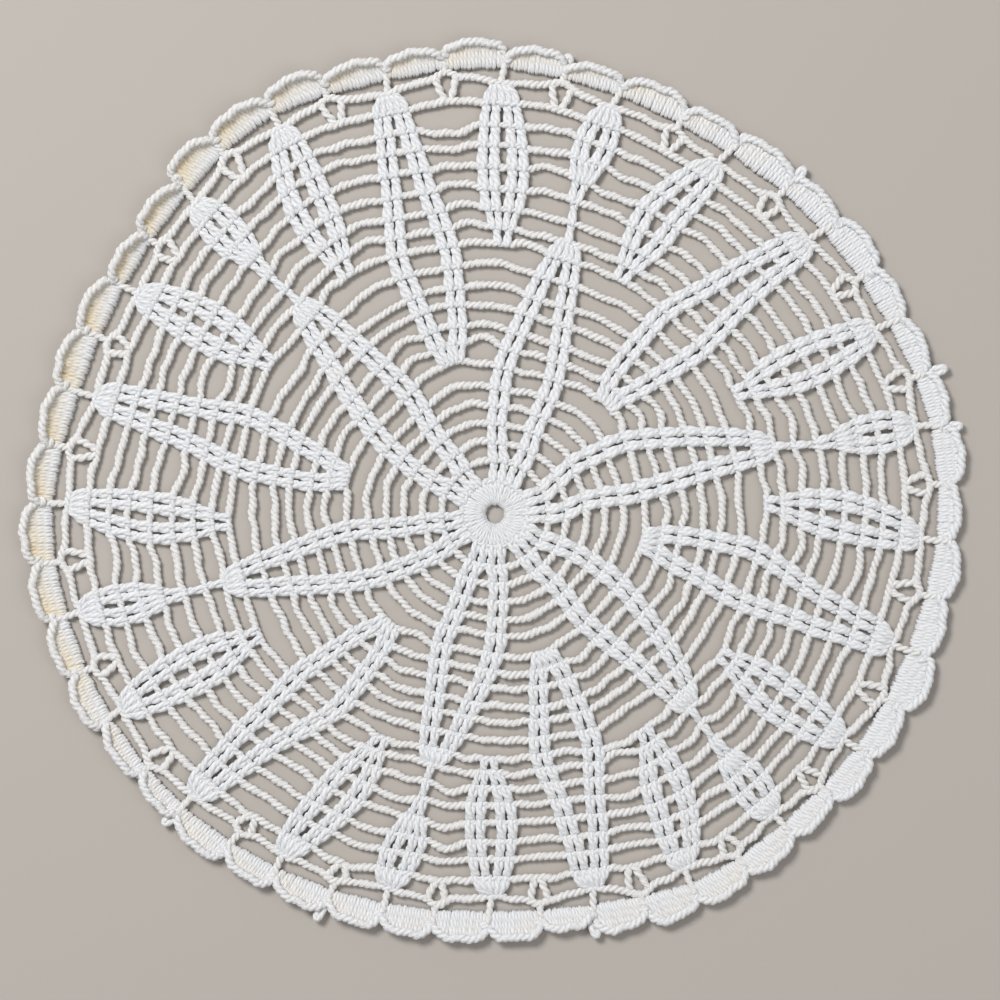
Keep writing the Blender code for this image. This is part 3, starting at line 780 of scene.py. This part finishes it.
def add_rim(thread, stitch, random):
    """A cord of chain stitches along the rim of each scallop, tucked down at both of its ends."""
    for i in range(len(SCALLOPS)):
        reach, degrees, height = rim_point(i, np.linspace(0.02, 0.98, RIM_POINTS))
        foot = radius(FOOT_LINE, degrees[[0, -1]]) + RIM_END_REACH
        reach = np.concatenate([foot[:1], reach, foot[1:]])
        height = np.concatenate([[RIM_END_HEIGHT], height, [RIM_END_HEIGHT]])
        degrees = np.concatenate([degrees[:1], degrees, degrees[-1:]])
        course = evenly(spot(reach, degrees, height), stitch / CHAIN_STEPS, False)
        along = np.linspace(0, 1, len(course))
        width = RIM_WIDTH * np.interp(along, (0, 0.12, 0.88, 1), (0.75, 1.0, 1.0, 0.75))
        tint = RIM_TINT * creaminess(degrees.mean())
        phase = random.uniform(0, math.pi)
        thread.rope(course, width, phase=phase, tint=tint, twist=RIM_TWIST)


KNOB_SIZE = 2.2
KNOB_HALF_WIDTH = 1.1
KNOB_SHIFT = 0.7  # how far clockwise of the joint a knob stands
KNOB_BASE = 4.0  # how far beyond the foot of the scallops its ends are
KNOB_PROUD = 1.6  # how far a knob stands out from the rim, at most


def add_knobs(thread, random):
    """Small loops of thread that stand out from the rim where two scallops meet."""
    for i, (joint, _) in enumerate(SCALLOPS):
        reach = rim_point(i, 0.0)[0] + RIM_WIDTH / 2 + random.uniform(0.0, KNOB_PROUD)
        for degrees, far in PICOTS:
            if abs(degrees - joint) < 1.5:
                reach = far
        t = np.linspace(0, 1, 8)
        base = radius(FOOT_LINE, joint) + KNOB_BASE
        out = base + (reach - KNOB_SIZE / 2 - base) * np.sin(np.pi * t) ** 0.7
        turned = joint + np.degrees((KNOB_SHIFT - KNOB_HALF_WIDTH * np.cos(np.pi * t)) / reach)
        height = RIM_LOWEST + 0.4 + (0.3 + 0.25 * curl(joint)) * np.sin(np.pi * t)
        tint = RIM_TINT * creaminess(joint)
        thread.run(spot(out, turned, height)[None], KNOB_SIZE, UP, tint=tint)


class Value:
    """A socket of a shader, on which sums are written as in Python."""

    def __init__(self, shader, socket):
        self.shader, self.socket = shader, socket

    def maths(self, operation, *values):
        sockets = dict(enumerate(values))
        return self.shader.node("ShaderNodeMath", {"operation": operation}, sockets)

    def __add__(self, other):
        return self.maths("ADD", self, other)

    def __sub__(self, other):
        return self.maths("SUBTRACT", self, other)

    def __rsub__(self, other):
        return self.maths("SUBTRACT", other, self)

    def __mul__(self, other):
        return self.maths("MULTIPLY", self, other)

    def __abs__(self):
        return self.maths("ABSOLUTE", self)

    def part(self):
        """What is left of the value after its whole number."""
        return self.maths("FRACT", self)

    __radd__, __rmul__ = __add__, __mul__


class Shader:
    """The nodes of a material."""

    def __init__(self, material):
        material.use_nodes = True
        self.tree = material.node_tree
        self.tree.nodes.clear()

    def node(self, kind, settings, sockets, output=0):
        """Adds a node with its settings and its sockets' values or links; gives one of its outputs."""
        made = self.tree.nodes.new(kind)
        for name, setting in settings.items():
            setattr(made, name, setting)
        for name, value in sockets.items():
            if isinstance(value, Value):
                self.tree.links.new(value.socket, made.inputs[name])
            else:
                made.inputs[name].default_value = value
        return Value(self, made.outputs[output]) if made.outputs else None

    def mix(self, factor, first, second, blend="MIX"):
        """A colour between two, by a factor."""
        settings = {"data_type": "RGBA", "blend_type": blend}
        return self.node("ShaderNodeMix", settings, {0: factor, 6: first, 7: second}, output=2)

    def noise(self, position, scale, detail):
        """Noise over a piece, from 0 to 1."""
        sockets = {"Vector": position, "Scale": scale, "Detail": detail}
        return self.node("ShaderNodeTexNoise", {}, sockets)


PLIES = 3
PLY_PITCH = 2.6
PLY_RELIEF, FUZZ_RELIEF = 0.6, 0.8
FUZZ_SCALE = 1500.0
PATCH_SCALE = 90.0


def cotton_material(colours):
    """Matt cotton, plied: fine slanting ridges along the yarn with painted shade in the grooves
    between them, and a cream tint where the pieces give one.
    """
    material = bpy.data.materials.new("crochet_cotton")
    shader = Shader(material)
    position = shader.node("ShaderNodeTexCoord", {}, {}, output=3)
    along = shader.node("ShaderNodeUVMap", {"uv_map": YARN_MAP}, {})
    length = shader.node("ShaderNodeSeparateXYZ", {}, {0: along})
    turn = shader.node("ShaderNodeSeparateXYZ", {}, {0: along}, output=1)
    tint = shader.node("ShaderNodeAttribute", {"attribute_name": TINT}, {}, output=2)

    ply = (length * (1 / PLY_PITCH) + turn * PLIES).part()
    groove = abs(ply * 2.0 - 1.0)
    fuzz = shader.noise(position, FUZZ_SCALE, 3.0)
    patches = shader.noise(position, PATCH_SCALE, 2.0)
    height = (1.0 - groove) * PLY_RELIEF + fuzz * FUZZ_RELIEF
    bump = shader.node(
        "ShaderNodeBump", {}, {"Strength": 0.8, "Distance": 0.25 * MM, "Height": height}
    )
    clean = shader.mix(patches, tuple(colours.white), tuple(colours.warm_white))
    colour = shader.mix(tint, clean, tuple(colours.cream))
    # Painted shade: down in the grooves between the plies, and more where the fuzz is high, the colour
    # is multiplied towards the groove colour.
    colour = shader.mix(groove * groove * fuzz, colour, tuple(colours.groove), "MULTIPLY")
    surface = shader.node(
        "ShaderNodeBsdfPrincipled",
        {},
        {
            "Base Color": colour,
            "Roughness": fuzz * 0.2 + 0.75,
            "Normal": bump,
            "Subsurface Weight": 0.18,
            "Subsurface Radius": (1.0, 0.9, 0.8),
            "Subsurface Scale": 1.2 * MM,
            "Sheen Weight": 0.15,
        },
    )
    shader.node("ShaderNodeOutputMaterial", {}, {"Surface": surface})
    return material


class DoilyThread(bpy.types.PropertyGroup):
    chain_width: bpy.props.FloatProperty(
        name="Chain width", description="Width of a cord of chain stitches", default=2.8 * MM,
        unit="LENGTH",
    )
    chain_stitch: bpy.props.FloatProperty(
        name="Chain stitch", description="Length of one chain stitch", default=1.95 * MM,
        unit="LENGTH",
    )
    seed: bpy.props.IntProperty(
        name="Seed", description="Start of the random draws that make the stitches uneven",
        default=7,
    )


class DoilyColours(bpy.types.PropertyGroup):
    white: bpy.props.FloatVectorProperty(
        name="White", description="Colour of clean cotton", default=(0.81, 0.822, 0.848, 1.0),
        subtype="COLOR", size=4,
    )
    warm_white: bpy.props.FloatVectorProperty(
        name="Warm white", description="Colour of handled cotton", default=(0.82, 0.81, 0.795, 1.0),
        subtype="COLOR", size=4,
    )
    # Cream: the colour that the tint attribute draws the cotton towards; the pieces set it deepest in
    # the curled scallops on the left and top left.
    cream: bpy.props.FloatVectorProperty(
        name="Cream", description="Colour of the yellowed edging", default=(0.83, 0.71, 0.51, 1.0),
        subtype="COLOR", size=4,
    )
    # Painted shade: the colour that the grooves between the plies are darkened towards.
    groove: bpy.props.FloatVectorProperty(
        name="Grooves", description="Shade between the yarn's plies", default=(0.55, 0.56, 0.62, 1.0),
        subtype="COLOR", size=4,
    )
    floor: bpy.props.FloatVectorProperty(
        name="Floor", description="Colour of the floor", default=(0.44, 0.405, 0.37, 1.0),
        subtype="COLOR", size=4,
    )


def finish_piece(thread, name):
    """Makes a piece of the yarn gathered, which stands for the part's solid."""
    piece = bpy.data.objects.new(name, thread.mesh(name))
    bpy.context.scene.collection.objects.link(piece)
    material = bpy.data.materials.get("crochet_cotton")
    if material is None:
        material = cotton_material(bpy.context.scene.doily_colours)
    piece.data.materials.append(material)
    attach(piece, BODY)
    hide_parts(NODE)
    return piece


LEAVES_DRAWS, EDGING_DRAWS = 10, 12


def draws(settings, place):
    """Random draws of a piece's own; the rings of chain have those from 0."""
    return np.random.default_rng((settings.seed, place))


# The rings of chain by piece, with the first and last line of each.
CHAIN_PIECES = (("inner_chains", 1, 11), ("middle_chains", 12, 17), ("outer_chains", 18, 21))
EDGING_NAME = "scalloped_edging"


class DOILY_OT_chains(bpy.types.Operator):
    """Make the rings of chain stitches, in three pieces from the middle out"""

    bl_idname = "doily.chains"
    bl_label = "Rings of chain"

    def execute(self, context):
        settings = context.scene.doily_thread
        width, stitch = settings.chain_width / MM, settings.chain_stitch / MM
        for place, (name, first, last) in enumerate(CHAIN_PIECES):
            random = draws(settings, place)
            thread = Thread()
            for line in range(first, last + 1):
                add_chain_ring(thread, line, width, stitch, random)
            finish_piece(thread, name)
        return {"FINISHED"}


class DOILY_OT_leaves(bpy.types.Operator):
    bl_idname = "doily.leaves"
    bl_label = "Disc and leaves"

    def execute(self, context):
        random = draws(context.scene.doily_thread, LEAVES_DRAWS)
        thread = Thread()
        add_disc(thread, random)
        add_columns(thread, random)
        piece = finish_piece(thread, "leaves")
        return {"FINISHED"}


class DOILY_OT_edging(bpy.types.Operator):
    """Make the forks and ties that carry the edging, its scallops, their rim and its small loops"""

    bl_idname = "doily.edging"
    bl_label = "Scalloped edging"

    def execute(self, context):
        settings = context.scene.doily_thread
        random = draws(settings, EDGING_DRAWS)
        thread = Thread()
        add_forks(thread, random)
        add_ties(thread, random)
        for i in range(len(SCALLOPS)):
            add_scallop(thread, i, random)
        add_rim(thread, settings.chain_stitch / MM, random)
        add_knobs(thread, random)
        finish_piece(thread, EDGING_NAME)
        return {"FINISHED"}


# The stage, in metres and watts.
FLOOR_SIZE = 4.0
LIGHTS = (
    # name, place, size, power
    ("key_light", (-0.75, 0.8, 1.5), 0.6, 27.5),
    ("fill_light", (1.0, -0.6, 1.5), 1.4, 7.0),
)
WORLD_STRENGTH = 0.34
CAMERA_HEIGHT = 1.0
VIEW_WIDTH = 0.3226
VIEW_CENTRE = (0.0022, -0.0030)
SENSOR = 36.0


class DOILY_OT_stage(bpy.types.Operator):
    """Make the floor, the lights and the camera"""

    bl_idname = "doily.stage"
    bl_label = "Floor, lights and camera"

    def execute(self, context):
        scene = context.scene
        bpy.ops.object.select_all(action="DESELECT")
        bpy.ops.mesh.primitive_plane_add(size=FLOOR_SIZE, location=(0, 0, 0))
        floor = context.active_object
        floor.name = "floor"
        material = bpy.data.materials.new("floor_paint")
        shader = Shader(material)
        paint = {"Base Color": tuple(scene.doily_colours.floor), "Roughness": 0.7}
        surface = shader.node("ShaderNodeBsdfPrincipled", {}, paint)
        shader.node("ShaderNodeOutputMaterial", {}, {"Surface": surface})
        floor.data.materials.append(material)
        for light in LIGHTS:
            add_area_light(*light)
        world = bpy.data.worlds.new("soft_light")
        world.use_nodes = True
        background = world.node_tree.nodes["Background"]
        background.inputs["Color"].default_value = (1.0, 1.0, 1.0, 1.0)
        background.inputs["Strength"].default_value = WORLD_STRENGTH
        scene.world = world
        camera_data = bpy.data.cameras.new("camera")
        camera_data.sensor_width = SENSOR
        camera_data.lens = SENSOR * CAMERA_HEIGHT / VIEW_WIDTH
        camera = bpy.data.objects.new("camera", camera_data)
        camera.location = (*VIEW_CENTRE, CAMERA_HEIGHT)
        scene.collection.objects.link(camera)
        scene.camera = camera
        scene.view_settings.view_transform = "Standard"
        return {"FINISHED"}


def add_area_light(name, place, size, power):
    """A square soft light that points at the doily."""
    data = bpy.data.lights.new(name, "AREA")
    data.size = size
    data.energy = power
    light = bpy.data.objects.new(name, data)
    light.location = place
    light.rotation_euler = (-Vector(place)).to_track_quat("-Z", "Y").to_euler()
    bpy.context.scene.collection.objects.link(light)


class DOILY_PT_panel(bpy.types.Panel):
    """Buttons that build the doily"""

    bl_idname = "DOILY_PT_panel"
    bl_label = "Lace doily"
    bl_space_type = "VIEW_3D"
    bl_region_type = "UI"
    bl_category = "Doily"

    def draw(self, context):
        for name in ("chain_width", "chain_stitch", "seed"):
            self.layout.prop(context.scene.doily_thread, name)
        for name in ("white", "warm_white", "cream", "groove", "floor"):
            self.layout.prop(context.scene.doily_colours, name)
        for operator in OPERATORS:
            self.layout.operator(operator.bl_idname)


OPERATORS = (
    DOILY_OT_chains,
    DOILY_OT_edging,
    DOILY_OT_leaves,
    DOILY_OT_stage,
)
CLASSES = (DoilyThread, DoilyColours, *OPERATORS, DOILY_PT_panel)


def register():
    for cls in CLASSES:
        bpy.utils.register_class(cls)
    bpy.types.Scene.doily_thread = bpy.props.PointerProperty(type=DoilyThread)
    bpy.types.Scene.doily_colours = bpy.props.PointerProperty(type=DoilyColours)


def unregister():
    del bpy.types.Scene.doily_colours
    del bpy.types.Scene.doily_thread
    for cls in reversed(CLASSES):
        bpy.utils.unregister_class(cls)


def main():
    register()
    bpy.ops.doily.stage()
    bpy.ops.doily.chains()
    bpy.ops.doily.edging()
    bpy.ops.doily.leaves()


if __name__ == "__main__":
    main()
